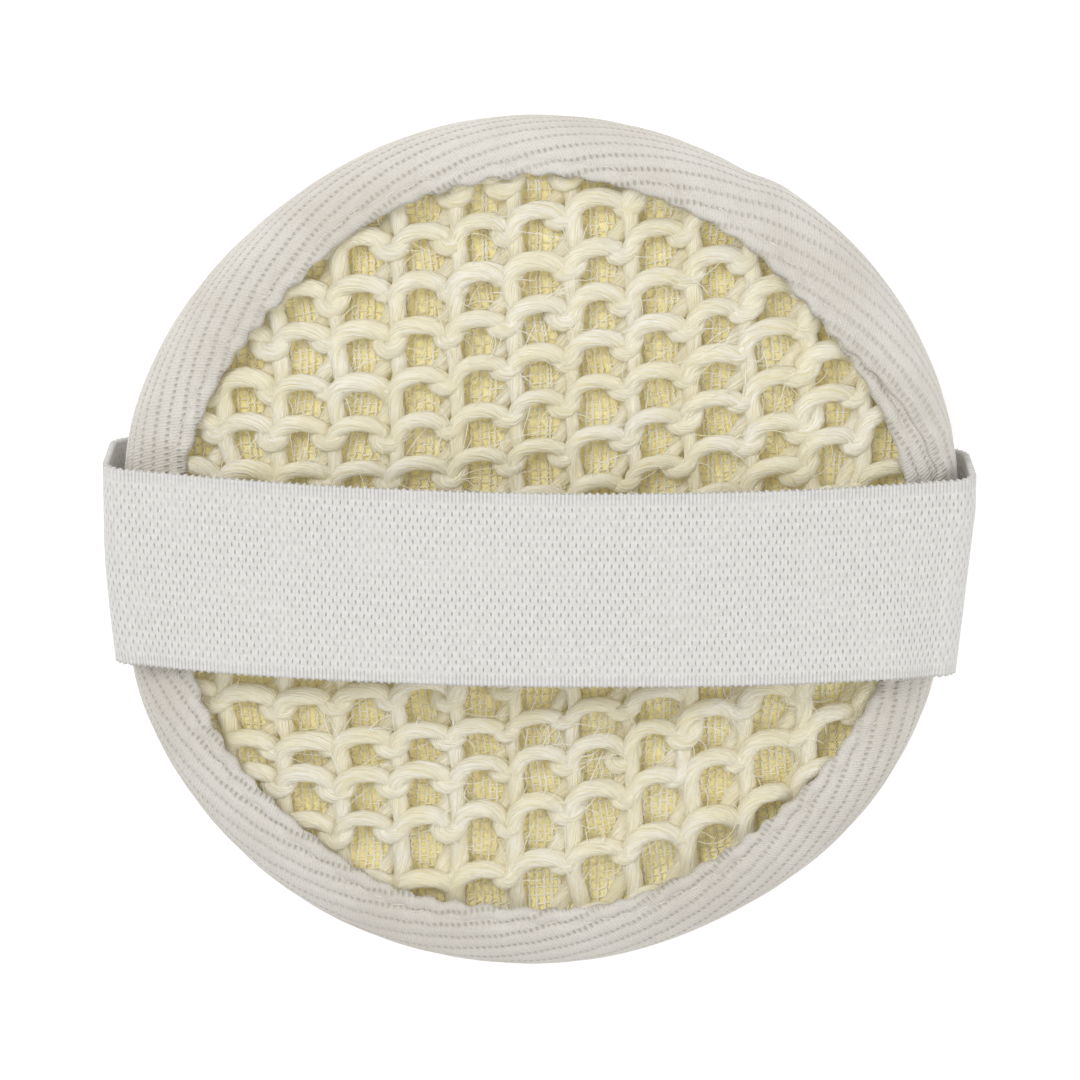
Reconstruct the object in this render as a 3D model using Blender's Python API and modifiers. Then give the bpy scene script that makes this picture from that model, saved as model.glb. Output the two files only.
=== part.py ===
"""A round sisal body pad with an elastic hand strap, lying on its back.

The pad is a sewn pack of layers: a terry back cloth, a foam core, a gauze scrim and a thick
sisal knit, held together at the rim by one strip of twill binding whose tail laps its start.
A knitted elastic strap crosses the front, folds round the rim and is tacked to the back.
Metres, +Z up. The origin is on the flat back, under the middle of the whole object, and X
runs along the strap.
"""
from math import cos, pi, radians, sin

import bpy
import bmesh
from mathutils import Vector

MM = 0.001

# The pad is turned about 144 mm across, then pulled in a little where the strap crosses its rim
ACROSS_STRAP = 1.017
ALONG_STRAP = 0.998
BINDING_THICKNESS = 1.4 * MM
CLEARANCE = 0.3 * MM
ROUND_STEPS = 56

# The layers, each as radius and height of a few points from the middle to the rim
BACK_CLOTH_UNDERSIDE = [(0.0, 0.0), (50.0, 0.0), (53.3, 1.1), (56.6, 4.7), (62.0, 6.2), (66.4, 9.0)]
BACK_CLOTH_INSIDE = [(0.0, 1.8), (48.6, 1.8), (51.9, 2.9), (55.4, 6.6), (61.2, 8.1), (65.0, 10.4)]
FOAM_UNDERSIDE = [(0.0, 2.1), (48.1, 2.1), (51.4, 3.3), (54.9, 7.0), (60.8, 8.5), (64.6, 10.8)]
FOAM_TOP = [(0.0, 23.4), (24.0, 23.1), (45.0, 21.8), (58.0, 19.2), (63.5, 16.6), (66.0, 13.2)]
SCRIM_UNDERSIDE = [(0.0, 23.7), (24.0, 23.4), (45.0, 22.1), (58.1, 19.5), (63.8, 16.9), (66.3, 14.0)]
SCRIM_TOP = [(0.0, 24.2), (24.0, 23.9), (45.0, 22.6), (58.2, 20.0), (64.1, 17.4), (66.9, 14.4)]
KNIT_UNDERSIDE = [(0.0, 24.5), (24.0, 24.2), (45.0, 22.9), (58.3, 20.3), (64.4, 17.6), (67.3, 14.8)]
KNIT_TOP = [(0.0, 30.0), (20.0, 29.7), (38.0, 28.6), (50.0, 27.0), (57.0, 24.9), (64.0, 23.6), (68.4, 19.8)]

# The binding, from its front inner edge round the rim to its back inner edge
BINDING_PATH = [(58.6, 25.9), (64.5, 25.2), (69.4, 22.0), (71.3, 17.0), (71.3, 11.5), (69.5, 7.4),
                (64.5, 4.7), (57.6, 3.6)]
BINDING_START = radians(54.0)
LAP_ANGLE = radians(24.0)
LAP_RAMP = radians(7.0)
LAP_LIFT = BINDING_THICKNESS + CLEARANCE

# The seam through the binding
THREAD_RADIUS = 0.3 * MM
FRONT_SEAM_RADIUS = 60.6 * MM
BACK_SEAM_RADIUS = 59.2 * MM

# The strap, along its middle line from the crown to the raw end on the back
STRAP_WIDTH = 32.8 * MM
STRAP_THICKNESS = 1.2 * MM
STRAP_CENTRE_Y = -2.25 * MM
STRAP_CROWN = 39.4 * MM
STRAP_FOLD_X = 73.0 * MM
STRAP_FOLD_DROP = 12.4 * MM
STRAP_LIFTED_HALF = 38.0 * MM
STRAP_END_X = 61.5 * MM
STRAP_BACK_Z = 1.3 * MM
STRAP_FRONT_RADIUS = 4.5 * MM
STRAP_BACK_RADIUS = 7.0 * MM

# The bar tacks that hold the strap's raw ends
TACK_X = 64.0 * MM
TACK_LENGTH = 29.0 * MM
TACK_WIDTH = 1.6 * MM
TACK_THICKNESS = 0.3 * MM
TACK_TOP = 0.4 * MM
TACK_ROUNDING = 0.4


def clear_scene():
    """Remove every object, so the script can be run again in an open file."""
    for old in list(bpy.data.objects):
        bpy.data.objects.remove(old, do_unlink=True)


def new_collection(name):
    """Make a collection and link it to the scene."""
    collection = bpy.data.collections.new(name)
    bpy.context.scene.collection.children.link(collection)
    return collection


def finish(name, colour, roughness):
    """Make a plain material for one sub-part."""
    material = bpy.data.materials.new(name)
    material.use_nodes = True
    shader = material.node_tree.nodes["Principled BSDF"]
    shader.inputs["Base Color"].default_value = (*colour, 1.0)
    shader.inputs["Roughness"].default_value = roughness
    shader.inputs["Metallic"].default_value = 0.0
    return material


def place(name, mesh, material, collection):
    """Make an object of a mesh, with its material, in a collection."""
    for polygon in mesh.polygons:
        polygon.use_smooth = True
    obj = bpy.data.objects.new(name, mesh)
    obj.data.materials.append(material)
    collection.objects.link(obj)
    return obj


def in_metres(points):
    """Turn a list of radius and height in millimetres into metres."""
    return [(radius * MM, height * MM) for radius, height in points]


def rounded(points, steps):
    """Pass a smooth Catmull-Rom line through a few points."""
    line = []
    padded = [points[0]] + points + [points[-1]]
    for start in range(len(points) - 1):
        before, first, second, after = [Vector(p) for p in padded[start:start + 4]]
        for step in range(steps):
            t = step / steps
            line.append(tuple(0.5 * (
                2.0 * first
                + (second - before) * t
                + (2.0 * before - 5.0 * first + 4.0 * second - after) * t ** 2
                + (3.0 * first - before - 3.0 * second + after) * t ** 3)))
    line.append(tuple(points[-1]))
    return line


def turned(name, top, underside, material, collection):
    """Turn a layer from its top line and its underside, both given from the middle outwards."""
    outline = in_metres(top) + in_metres(reversed(underside))
    mesh = bpy.data.meshes.new(name)
    vertices = [(radius, 0.0, height) for radius, height in outline]
    edges = [(i, i + 1) for i in range(len(vertices) - 1)]
    mesh.from_pydata(vertices, edges, [])
    obj = place(name, mesh, material, collection)
    screw = obj.modifiers.new("turn", 'SCREW')
    screw.axis = 'Z'
    screw.steps = ROUND_STEPS
    screw.render_steps = ROUND_STEPS
    screw.use_merge_vertices = True
    screw.merge_threshold = 0.00001
    screw.use_smooth_shade = True
    obj.scale = (ALONG_STRAP, ACROSS_STRAP, 1.0)
    return obj


def around_pad(radius, angle):
    """The place at an angle round the pad, whose circle the strap has pulled in."""
    return radius * cos(angle) * ALONG_STRAP, radius * sin(angle) * ACROSS_STRAP


def smooth_ramp(amount):
    """Ease from 0 to 1."""
    amount = min(max(amount, 0.0), 1.0)
    return amount * amount * (3.0 - 2.0 * amount)


def lap_lift(turned_angle):
    """How far the binding stands off its base line, counted along the strip from its start."""
    return LAP_LIFT * smooth_ramp((turned_angle - (2.0 * pi - LAP_RAMP)) / LAP_RAMP)


def binding_point(turned_angle, along):
    """A point on the binding's middle surface: angle along the strip, and place across it."""
    line = rounded(in_metres(BINDING_PATH), 2)
    position = along * (len(line) - 1)
    index = min(int(position), len(line) - 2)
    first, second = Vector(line[index]), Vector(line[index + 1])
    spot = first.lerp(second, position - index)
    before = Vector(line[max(index - 1, 0)])
    after = Vector(line[min(index + 2, len(line) - 1)])
    run = (after - before).normalized()
    spot += Vector((-run.y, run.x)) * lap_lift(turned_angle)
    angle = BINDING_START - turned_angle
    return Vector((*around_pad(spot.x, angle), spot.y))


def edge_binding(material, collection):
    """One strip of binding, wrapped round the rim, with its tail lapped over its start."""
    rounds, across = 80, 14
    mesh = bpy.data.meshes.new("edge_binding")
    bm = bmesh.new()
    bmesh.ops.create_grid(bm, x_segments=rounds, y_segments=across, size=0.5)
    for vertex in bm.verts:
        turned_angle = (vertex.co.x + 0.5) * (2.0 * pi + LAP_ANGLE)
        vertex.co = binding_point(turned_angle, vertex.co.y + 0.5)
    bm.to_mesh(mesh)
    bm.free()
    obj = place("edge_binding", mesh, material, collection)
    wall = obj.modifiers.new("tape", 'SOLIDIFY')
    wall.thickness = BINDING_THICKNESS
    wall.offset = 0.0
    return obj


def seam_thread(name, points, material, collection):
    """One closed ring of sewing thread through a list of points."""
    curve = bpy.data.curves.new(name, 'CURVE')
    curve.dimensions = '3D'
    curve.bevel_depth = THREAD_RADIUS
    curve.bevel_resolution = 1
    spline = curve.splines.new('POLY')
    spline.points.add(len(points) - 1)
    for spot, point in zip(spline.points, points):
        spot.co = (*point, 1.0)
    spline.use_cyclic_u = True
    obj = bpy.data.objects.new(name, curve)
    curve.materials.append(material)
    collection.objects.link(obj)
    return obj


def front_seam_points(count):
    """The front seam's ring, which steps up where the binding laps."""
    line = rounded(in_metres(BINDING_PATH), 2)
    height = line[0][1] + BINDING_THICKNESS / 2.0 + THREAD_RADIUS + CLEARANCE
    points = []
    for step in range(count):
        angle = 2.0 * pi * step / count
        past_start = (BINDING_START - angle) % (2.0 * pi)
        on_lap = smooth_ramp((past_start - (2.0 * pi - LAP_RAMP)) / LAP_RAMP)
        off_lap = smooth_ramp((LAP_ANGLE + LAP_RAMP - past_start) / LAP_RAMP)
        lift = LAP_LIFT * max(on_lap, off_lap)
        points.append((*around_pad(FRONT_SEAM_RADIUS, angle), height + lift))
    return points


def back_seam_points(count):
    """The back seam's ring, which steps down where the binding laps."""
    line = rounded(in_metres(BINDING_PATH), 2)
    height = line[-1][1] - BINDING_THICKNESS / 2.0 - THREAD_RADIUS - CLEARANCE
    points = []
    for x, y, z in front_seam_points(count):
        lift = z - front_seam_points(1)[0][2]
        scale = BACK_SEAM_RADIUS / FRONT_SEAM_RADIUS
        points.append((x * scale, y * scale, height - lift))
    return points


def strap_arch(x):
    """Height of the strap's middle line over the front."""
    return STRAP_CROWN - STRAP_FOLD_DROP * (abs(x) / STRAP_FOLD_X) ** 2


def strap_side_line():
    """The strap's middle line from the lifted middle, round the rim, to its raw end."""
    start = STRAP_LIFTED_HALF + CLEARANCE
    fold = STRAP_FOLD_X - STRAP_FRONT_RADIUS
    line = [(start + (fold - start) * step / 7.0, 0.0) for step in range(7)]
    line = [(x, strap_arch(x)) for x, height in line]
    corner_z = strap_arch(fold) - STRAP_FRONT_RADIUS
    for step in range(6):
        angle = pi / 2.0 * (1.0 - step / 5.0)
        line.append((fold + STRAP_FRONT_RADIUS * cos(angle), corner_z + STRAP_FRONT_RADIUS * sin(angle)))
    turn_x = STRAP_FOLD_X - STRAP_BACK_RADIUS
    for step in range(7):
        angle = -pi / 2.0 * step / 6.0
        line.append((turn_x + STRAP_BACK_RADIUS * cos(angle),
                     STRAP_BACK_Z + STRAP_BACK_RADIUS * (1.0 + sin(angle))))
    line.append((STRAP_END_X, STRAP_BACK_Z))
    return line


def strap_length(name, line, material, collection):
    """A length of strap: its middle line drawn out across its width, then given its thickness."""
    mesh = bpy.data.meshes.new(name)
    bm = bmesh.new()
    edge_y = STRAP_CENTRE_Y - STRAP_WIDTH / 2.0
    row = [bm.verts.new((x, edge_y, z)) for x, z in line]
    edges = [bm.edges.new(pair) for pair in zip(row[:-1], row[1:])]
    drawn = bmesh.ops.extrude_edge_only(bm, edges=edges)["geom"]
    far_side = [item for item in drawn if isinstance(item, bmesh.types.BMVert)]
    bmesh.ops.translate(bm, verts=far_side, vec=(0.0, STRAP_WIDTH, 0.0))
    bmesh.ops.recalc_face_normals(bm, faces=bm.faces)
    bm.to_mesh(mesh)
    bm.free()
    obj = place(name, mesh, material, collection)
    wall = obj.modifiers.new("elastic", 'SOLIDIFY')
    wall.thickness = STRAP_THICKNESS
    wall.offset = 0.0
    wall.use_even_offset = True
    return obj


def hand_strap(material, collection):
    """The middle of the strap, which a hand lifts."""
    steps = 16
    places = [STRAP_LIFTED_HALF * (2.0 * step / steps - 1.0) for step in range(steps + 1)]
    return strap_length("hand_strap", [(x, strap_arch(x)) for x in places], material, collection)


def strap_tack(name, side, material, collection):
    """A bar tack across the strap's raw end, on the back."""
    mesh = bpy.data.meshes.new(name)
    bm = bmesh.new()
    bmesh.ops.create_cube(bm, size=1.0)
    bmesh.ops.scale(bm, vec=(TACK_WIDTH, TACK_LENGTH, TACK_THICKNESS), verts=bm.verts)
    upright = [edge for edge in bm.edges
               if abs(edge.verts[0].co.z - edge.verts[1].co.z) > TACK_THICKNESS / 2.0]
    bmesh.ops.bevel(bm, geom=upright, offset=TACK_WIDTH * TACK_ROUNDING, segments=3, profile=0.5,
                    affect='EDGES', material=-1)
    bm.to_mesh(mesh)
    bm.free()
    obj = place(name, mesh, material, collection)
    obj.location = (side * TACK_X, STRAP_CENTRE_Y, TACK_TOP - TACK_THICKNESS / 2.0)
    return obj


def build():
    """Make the pad's layers, its binding and seam, and the strap."""
    clear_scene()
    parts = new_collection("sisal_body_pad")
    terry = finish("terry_cotton", (0.79, 0.76, 0.69), 0.95)
    foam = finish("foam", (0.60, 0.50, 0.24), 0.9)
    gauze = finish("gauze", (0.76, 0.70, 0.52), 0.9)
    sisal = finish("sisal", (0.76, 0.70, 0.50), 0.75)
    turned("back_cloth", BACK_CLOTH_INSIDE, BACK_CLOTH_UNDERSIDE, terry, parts)
    turned("foam_core", FOAM_TOP, FOAM_UNDERSIDE, foam, parts)
    turned("gauze_scrim", SCRIM_TOP, SCRIM_UNDERSIDE, gauze, parts)
    turned("sisal_knit", KNIT_TOP, KNIT_UNDERSIDE, sisal, parts)
    edge_binding(finish("cotton_twill", (0.76, 0.73, 0.66), 0.9), parts)

    sewing_thread = finish("sewing_thread", (0.82, 0.79, 0.72), 0.8)
    seam_thread("front_seam_thread", front_seam_points(60), sewing_thread, parts)
    seam_thread("back_seam_thread", back_seam_points(60), sewing_thread, parts)

    elastic = finish("knitted_elastic", (0.76, 0.75, 0.71), 0.85)
    hand_strap(elastic, parts)
    side_line = strap_side_line()
    strap_length("strap_end_right", side_line, elastic, parts)
    strap_length("strap_end_left", [(-x, z) for x, z in side_line], elastic, parts)
    strap_tack("strap_tack_right", 1.0, sewing_thread, parts)
    strap_tack("strap_tack_left", -1.0, sewing_thread, parts)


build()
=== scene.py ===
# %% [markdown]
# # A round sisal pad with an elastic hand strap
# The real object is sewn. A terry back cloth, a foam core, a gauze and a thick knit of sisal
# yarn are stacked, a twill tape binds their rim, and an elastic strap crosses the front and
# folds round the rim to the back. Each of those is a piece here, made the way cloth is made:
# sheets are grids that are laid in place, and yarns are strips rolled up along a line.
#
# The imported model is the fixed frame. Its parts are kept, and their boxes give the pieces'
# measures.

# %% Load the frame
from math import cos, pi, radians, sin, tan

import bmesh
import bpy
import numpy as np
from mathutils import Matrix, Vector


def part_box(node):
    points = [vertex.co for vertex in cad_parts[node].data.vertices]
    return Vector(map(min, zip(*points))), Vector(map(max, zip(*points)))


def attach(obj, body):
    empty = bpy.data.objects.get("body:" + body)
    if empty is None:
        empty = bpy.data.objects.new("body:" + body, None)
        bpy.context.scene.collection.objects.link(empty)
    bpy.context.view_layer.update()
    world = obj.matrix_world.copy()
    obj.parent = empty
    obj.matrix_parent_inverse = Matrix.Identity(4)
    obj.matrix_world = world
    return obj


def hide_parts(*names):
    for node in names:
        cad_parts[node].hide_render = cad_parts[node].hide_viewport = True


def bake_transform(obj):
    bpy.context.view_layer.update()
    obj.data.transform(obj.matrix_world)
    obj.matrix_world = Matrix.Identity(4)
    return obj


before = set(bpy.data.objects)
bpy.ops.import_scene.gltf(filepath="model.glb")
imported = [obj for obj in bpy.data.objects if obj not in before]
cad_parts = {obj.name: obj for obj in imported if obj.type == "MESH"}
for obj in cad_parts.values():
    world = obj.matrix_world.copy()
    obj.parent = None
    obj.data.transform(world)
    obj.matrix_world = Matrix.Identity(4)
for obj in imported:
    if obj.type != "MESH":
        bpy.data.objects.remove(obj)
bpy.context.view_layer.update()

# %% [markdown]
# ## The pad's measures
# Positions come from the frame. The turned layers were pulled in a little along the strap, so
# the pad is an oval, and a point's place in it is its turned radius: the radius that it would
# have if the pad were still round. One line says how high the knit stands at each turned radius,
# from the middle out to the rim, and the foam and the gauze follow it from below.

# %% Measures
MM = 0.001

knit_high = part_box("sisal_knit")[1]
back_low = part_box("back_cloth")[0]
binding_low, binding_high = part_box("edge_binding")
strap_low, strap_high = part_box("hand_strap")
strap_end_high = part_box("strap_end_right")[1]
STRAP_CENTRE_Y = (strap_low.y + strap_high.y) / 2.0

ALONG_STRAP = 0.998
ACROSS_STRAP = 1.017
KNIT_LINE = ([0, 20, 38, 50, 57, 64, 68.4], [0.0, -0.3, -1.4, -3.0, -4.9, -6.4, -10.2])
LINE_SMOOTHING = (-3.0, -1.0, 1.0, 3.0)


def turned_radius(x, y):
    """The radius a point would have on the pad before the strap pulled it oval, in metres."""
    return np.hypot(x / ALONG_STRAP, y / ACROSS_STRAP)


def on_oval(radius, angle):
    """The x and y of a turned radius at an angle round the pad."""
    return radius * np.cos(angle) * ALONG_STRAP, radius * np.sin(angle) * ACROSS_STRAP


def eased(value, low, high):
    """Ease from 0 at low to 1 at high."""
    t = np.clip((np.asarray(value, float) - low) / (high - low), 0.0, 1.0)
    return t * t * (3.0 - 2.0 * t)


def knit_top(radius):
    """The height of the knit's highest yarns, smoothed between the points of its line."""
    spread = [np.interp(np.abs(radius / MM + step), *KNIT_LINE) for step in LINE_SMOOTHING]
    return knit_high.z + np.mean(spread, axis=0) * MM


print(f"pad {binding_high.x - binding_low.x:.4f} by {binding_high.y - binding_low.y:.4f} m")

# %% [markdown]
# ## Shader maths
# Patterns are easier to read as formulas than as chains of nodes. A `Signal` wraps a socket, and
# each sum or product on it adds the Math node that does it. A `Finish` is one material: it makes
# any other node, mixes colours, and joins what varies to the shader. What is the same all over a
# surface is set on the shader's own socket.

# %% Signals and finishes
UV_NAME = "cloth"


class Signal:
    """A socket whose value varies over a surface."""

    def __init__(self, finish, socket):
        self.finish = finish
        self.socket = socket

    def maths(self, operation, *others):
        """Add one Math node, with this signal first."""
        inputs = dict(enumerate((self, *others)))
        return self.finish.node("ShaderNodeMath", {"operation": operation}, inputs)

    def __add__(self, other):
        return self.maths("ADD", other)

    def __sub__(self, other):
        return self.maths("SUBTRACT", other)

    def __mul__(self, other):
        return self.maths("MULTIPLY", other)

    def __truediv__(self, other):
        return self.maths("DIVIDE", other)

    def __rsub__(self, other):
        return (self * -1.0) + other

    def part(self):
        """The fraction left over after whole numbers, such as the place in a repeat."""
        return self.maths("FRACT")

    def whole(self):
        """The whole number below, such as which repeat this is."""
        return self.maths("FLOOR")

    def size(self):
        """The distance from zero."""
        return self.maths("ABSOLUTE")

    def wave(self):
        """A sine that repeats each time the signal grows by one, from 0 to 1."""
        return (self * (2.0 * pi)).maths("SINE") * 0.5 + 0.5

    def fade(self, low, high):
        """Ease from 0 at low to 1 at high; with low above high it eases down."""
        settings = {"interpolation_type": "SMOOTHSTEP"}
        if low < high:
            limits = {1: low, 2: high, 3: 0.0, 4: 1.0}
        else:
            limits = {1: high, 2: low, 3: 1.0, 4: 0.0}
        return self.finish.node("ShaderNodeMapRange", settings, {0: self, **limits})


class Finish:
    """One material, with the shader's even values set on its sockets."""

    def __init__(self, name, roughness, **even):
        self.material = bpy.data.materials.new(name)
        self.material.use_nodes = True
        self.tree = self.material.node_tree
        self.shader = self.tree.nodes["Principled BSDF"]
        self.shader.inputs["Roughness"].default_value = roughness
        for socket, value in even.items():
            self.shader.inputs[socket.replace("_", " ").title()].default_value = value

    def node(self, kind, settings=None, inputs=None, output=0):
        """Add a node: its settings first, then its sockets' values or links."""
        made = self.tree.nodes.new(kind)
        for key, value in (settings or {}).items():
            setattr(made, key, value)
        for key, value in (inputs or {}).items():
            self.join(made.inputs[key], value)
        return Signal(self, made.outputs[output])

    def join(self, socket, value):
        """Link a signal to a socket, or set the socket's value."""
        if isinstance(value, Signal):
            self.tree.links.new(value.socket, socket)
        else:
            socket.default_value = value

    def mix(self, factor, first, second):
        """Mix two colours."""
        settings = {"data_type": "RGBA"}
        inputs = {0: factor, 6: self.colour(first), 7: self.colour(second)}
        return self.node("ShaderNodeMix", settings, inputs, output=2)

    def colour(self, value):
        """A colour of three numbers gets its alpha; a signal stays as it is."""
        return value if isinstance(value, Signal) else (*value, 1.0)

    def cloth(self):
        """The place on the cloth, from the piece's own UV map, as two signals in millimetres."""
        place = self.node("ShaderNodeUVMap", {"uv_map": UV_NAME})
        split = self.node("ShaderNodeSeparateXYZ", None, {0: place})
        return split, Signal(self, split.socket.node.outputs[1])

    def spot(self, x, y, z=0.0):
        """A vector of three signals."""
        return self.node("ShaderNodeCombineXYZ", None, {0: x, 1: y, 2: z})

    def place(self):
        """The place in the object, in metres."""
        return self.node("ShaderNodeTexCoord", None, None, output="Object")

    def noise(self, vector, scale, detail=2.0, roughness=0.5):
        """Smooth noise from 0 to 1."""
        inputs = {"Vector": vector, "Scale": scale, "Detail": detail, "Roughness": roughness}
        return self.node("ShaderNodeTexNoise", None, inputs)

    def paint(self, colour):
        """Join the colour to the shader."""
        self.join(self.shader.inputs["Base Color"], colour)

    def rough(self, signal):
        """Join the roughness to the shader."""
        self.join(self.shader.inputs["Roughness"], signal)

    def relief(self, height, distance, strength=1.0):
        """Bump from a height of 0 to 1, where distance is the height in metres."""
        inputs = {"Strength": strength, "Distance": distance, "Height": height}
        bump = self.node("ShaderNodeBump", None, inputs)
        self.join(self.shader.inputs["Normal"], bump)


print("shader maths ready")

# %% [markdown]
# ## Cloth and yarn
# A sheet starts as `bmesh.ops.create_grid`, whose points are then laid where the cloth lies: the
# grid keeps its UV map, in millimetres, so that a weave follows the cloth round every bend. A
# yarn is such a grid too, a narrow strip laid along a line and rolled up, with its seam
# underneath and its ends closed. Thin threads are poly curves with a bevel, made a mesh. The
# round layers of the pad are outlines spun about its middle, then pulled to its oval.

# %% Grids, yarns, threads and spun layers
SPIN_STEPS = 120
SPIN_WELD = 0.01 * MM
YARN_WELD = 0.002 * MM
PLY_SWELL = 0.05


def cloth_grid(name, along, across, place, weave):
    """A grid whose point at u, v (0 to 1) goes to place(u, v), and its UV map to weave(u, v)."""
    bm = bmesh.new()
    bm.loops.layers.uv.new(UV_NAME)
    bmesh.ops.create_grid(bm, x_segments=along, y_segments=across, size=0.5, calc_uvs=True)
    mesh = bpy.data.meshes.new(name)
    bm.to_mesh(mesh)
    bm.free()
    flat = np.empty(len(mesh.vertices) * 3)
    mesh.vertices.foreach_get("co", flat)
    u, v = flat[0::3] + 0.5, flat[1::3] + 0.5
    mesh.vertices.foreach_set("co", np.stack(place(u, v), axis=1).ravel())
    corner = np.empty(len(mesh.loops), dtype=np.int32)
    mesh.loops.foreach_get("vertex_index", corner)
    cloth = np.stack(weave(u, v), axis=1)[corner]
    mesh.uv_layers[UV_NAME].data.foreach_set("uv", cloth.ravel())
    return mesh


def yarn_frame(line):
    """The sideways and upward directions along a line."""
    run = np.gradient(line, axis=0)
    run /= np.linalg.norm(run, axis=1)[:, None]
    side = np.cross(run, (0.0, 0.0, 1.0))
    side /= np.linalg.norm(side, axis=1)[:, None]
    return side, np.cross(side, run)


def rolled_yarn(line, half_width, half_height, sides, twist):
    """A strip laid along a line of points and rolled into a yarn, as a mesh."""
    side, up = yarn_frame(line)
    steps = np.linalg.norm(np.diff(line, axis=0), axis=1)
    travelled = np.concatenate(([0.0], np.cumsum(steps)))

    def place(u, v):
        index = np.rint(u * (len(line) - 1)).astype(int)
        turn = 2.0 * pi * v - pi / 2.0
        ply = 1.0 + PLY_SWELL * np.cos(2.0 * turn + twist * travelled[index])
        out = side[index] * (np.cos(turn) * half_width[index] * ply)[:, None]
        out += up[index] * (np.sin(turn) * half_height[index] * ply)[:, None]
        return tuple((line[index] + out).T)

    def weave(u, v):
        round_it = 2.0 * pi * float(np.mean(half_width))
        return u * travelled[-1] / MM, v * round_it / MM

    return cloth_grid("yarn", len(line) - 1, sides, place, weave)


def joined(name, meshes, close=True):
    """One mesh of several, with rolled seams welded, open ends closed and faces outwards."""
    bm = bmesh.new()
    for mesh in meshes:
        bm.from_mesh(mesh)
        bpy.data.meshes.remove(mesh)
    if close:
        bmesh.ops.remove_doubles(bm, verts=bm.verts, dist=YARN_WELD)
        open_edges = [edge for edge in bm.edges if edge.is_boundary]
        bmesh.ops.holes_fill(bm, edges=open_edges, sides=0)
        bmesh.ops.recalc_face_normals(bm, faces=bm.faces)
    made = bpy.data.meshes.new(name)
    bm.to_mesh(made)
    bm.free()
    return made


def threads(name, lines, thickness, resolution=0):
    """Thin round threads through lists of points, as one mesh."""
    curve = bpy.data.curves.new(name, "CURVE")
    curve.dimensions = "3D"
    curve.bevel_depth = thickness / 2.0
    curve.bevel_resolution = resolution
    curve.use_fill_caps = True
    for line in lines:
        spline = curve.splines.new("POLY")
        spline.points.add(len(line) - 1)
        flat = np.column_stack((line, np.ones(len(line))))
        spline.points.foreach_set("co", flat.ravel())
    holder = bpy.data.objects.new(name, curve)
    mesh = bpy.data.meshes.new_from_object(holder)
    bpy.data.objects.remove(holder)
    bpy.data.curves.remove(curve)
    bm = bmesh.new()
    bm.from_mesh(mesh)
    bmesh.ops.remove_doubles(bm, verts=bm.verts, dist=YARN_WELD)
    bm.to_mesh(mesh)
    bm.free()
    return mesh


def spun(name, outline):
    """An outline of radii and heights, spun about the pad's middle and pulled to its oval."""
    bm = bmesh.new()
    row = [bm.verts.new((radius, 0.0, height)) for radius, height in outline]
    edges = [bm.edges.new(pair) for pair in zip(row[:-1], row[1:])]
    bmesh.ops.spin(bm, geom=row + edges, cent=(0, 0, 0), axis=(0, 0, 1), angle=2.0 * pi,
                   steps=SPIN_STEPS, use_merge=True)
    bmesh.ops.remove_doubles(bm, verts=bm.verts, dist=SPIN_WELD)
    bmesh.ops.scale(bm, vec=(ALONG_STRAP, ACROSS_STRAP, 1.0), verts=bm.verts)
    bmesh.ops.recalc_face_normals(bm, faces=bm.faces)
    mesh = bpy.data.meshes.new(name)
    bm.to_mesh(mesh)
    bm.free()
    return mesh


def show(name, mesh, finish):
    """Put a finished mesh in the scene as one piece, with its material."""
    for polygon in mesh.polygons:
        polygon.use_smooth = True
    mesh.materials.clear()
    mesh.materials.append(finish.material)
    piece = bpy.data.objects.new(name, mesh)
    bpy.context.scene.collection.objects.link(piece)
    return piece


def wall(piece, thickness):
    """Give a sheet its thickness, half on each side."""
    solid = piece.modifiers.new("cloth", "SOLIDIFY")
    solid.thickness = thickness
    solid.offset = 0.0
    return piece


print("cloth and yarn helpers ready")

# %% [markdown]
# ## The foam core
# A slab of pale yellow foam fills the pad and shows through the holes of the knit. It could be
# the plain turned solid, but cut foam is pitted with cells, so a disc is spun from the pad's own
# lines, and its cells are left to the material's bump, with painted shade in their pits.

# %% Foam core
FOAM_LIGHT = (0.90, 0.84, 0.52)
FOAM_SHADE = (0.86, 0.78, 0.43)
# Painted shade for the foam's pits.
FOAM_PIT_PAINTED_SHADE = (0.78, 0.68, 0.34)
# A painted glow: the light that passes through the foam is painted in as emission.
FOAM_PAINTED_GLOW = (0.75, 0.62, 0.25, 1.0)
FOAM_PIT_DEPTH = 0.12 * MM
FOAM_RIM = [(66.2, 15.2), (66.0, 13.0), (64.6, 10.9)]
FOAM_BACK = [(60.5, 8.7), (54.6, 7.2), (51.0, 3.6), (48.0, 2.3), (24.0, 2.2), (0.0, 2.2)]
COVER_DEPTH = 4.9 * MM
PINCHED_SHARE = 0.5


def foam_finish():
    """Open-cell foam: pits between rounded cells, with painted shade in the pits and a painted glow.
    """
    # The weak emission is a painted glow; the foam is no lamp.
    finish = Finish("foam", 0.92, emission_color=FOAM_PAINTED_GLOW, emission_strength=0.12)
    place = finish.place()
    inputs = {"Vector": place, "Scale": 1500.0}
    cells = finish.node("ShaderNodeTexVoronoi", None, inputs)
    patches = finish.noise(place, 90.0, detail=3.0)
    pits = cells.fade(0.55, 0.15)
    base = finish.mix(patches.fade(0.3, 0.7), FOAM_SHADE, FOAM_LIGHT)
    # The pits get painted shade in their colour as well as a sunken bump.
    finish.paint(finish.mix(pits * 0.5, base, FOAM_PIT_PAINTED_SHADE))
    finish.relief(pits * -1.0, FOAM_PIT_DEPTH)
    return finish


def foam_front(radius):
    """The foam's front, which swells up against the knit and is pinched at the seam with it."""
    pinched = PINCHED_SHARE * eased(radius, 58.0 * MM, 64.0 * MM)
    return knit_top(radius) - COVER_DEPTH * (1.0 - pinched)


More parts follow.
